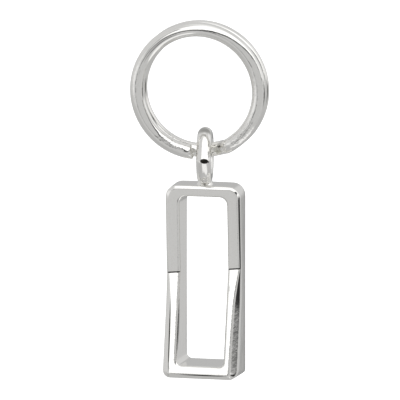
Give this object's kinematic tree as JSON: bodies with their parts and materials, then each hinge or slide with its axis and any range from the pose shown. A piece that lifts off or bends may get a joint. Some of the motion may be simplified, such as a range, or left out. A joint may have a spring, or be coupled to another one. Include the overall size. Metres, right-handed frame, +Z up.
{
  "type": "letter charm",
  "caption": "Open block-letter charm in polished silver: a tall rectangular frame with a creased front, a soldered bail loop and a coiled split ring that it swings on.",
  "frame": {"origin": "the inside top of the split ring, midway between its two coils, where it hangs from a chain, jump ring or hook", "axes": "+Z up along the hanging charm, -Y towards the letter's creased front, +X to the right as seen from the front, along the axis that the letter swings on"},
  "size_m": [0.008, 0.0036, 0.0207],
  "materials": {
    "ring_silver": "polished silver wire with fine draw lines and a few scuffs",
    "letter_silver": "bright polished cast silver with soft edges, faint polishing waves and a few casting pits"
  },
  "bodies": {
    "ring": {"split_ring": "ring_silver"},
    "charm": {"letter": "letter_silver"}
  },
  "joints": [
    {"name": "charm_swing", "type": "hinge", "parent": "ring", "child": "charm", "pos_m": [0.00023, 0.00043, -0.00676], "axis": [1, 0, 0], "range_deg": [-135, 135]}
  ]
}
